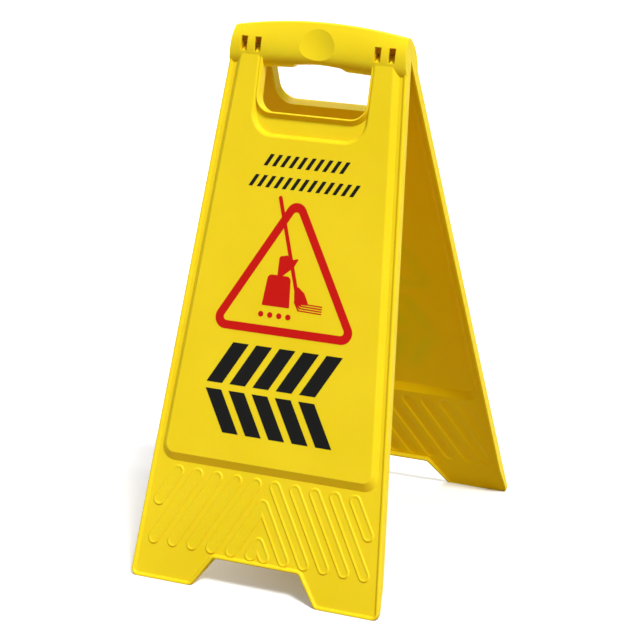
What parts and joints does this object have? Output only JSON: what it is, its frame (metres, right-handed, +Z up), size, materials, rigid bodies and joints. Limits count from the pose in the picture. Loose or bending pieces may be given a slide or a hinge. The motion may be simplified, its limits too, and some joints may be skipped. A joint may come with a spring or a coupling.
{
  "type": "folding floor sign",
  "caption": "Free-standing folding A-frame floor caution sign of yellow moulded plastic panels hinged inside a split carrying handle, printed with a warning triangle and hazard stripes.",
  "frame": {"origin": "on the floor, midway between the feet, below the hinge axis", "axes": "+Z up; X along the hinge axis; the front panel faces -Y and the rear panel +Y"},
  "size_m": [0.2988, 0.3928, 0.5945],
  "materials": {
    "panel_plastic": "semi-gloss injection-moulded polypropylene",
    "pin_plastic": "moulded acetal",
    "red_print": "screen-printed red ink",
    "black_print": "screen-printed black ink"
  },
  "bodies": {
    "front": {"front_panel": "panel_plastic", "hinge_pin_right": "pin_plastic", "hinge_pin_left": "pin_plastic", "front_warning_triangle": "red_print", "front_broom_symbol": "red_print", "front_heading_stripes": "black_print", "front_hazard_stripes": "black_print"},
    "rear": {"rear_panel": "panel_plastic", "rear_warning_triangle": "red_print", "rear_broom_symbol": "red_print", "rear_heading_stripes": "black_print", "rear_hazard_stripes": "black_print"}
  },
  "joints": [
    {"name": "fold", "type": "hinge", "parent": "front", "child": "rear", "pos_m": [0, 0, 0.56018], "axis": [-1, 0, 0], "range_deg": [0, 36.5]}
  ]
}
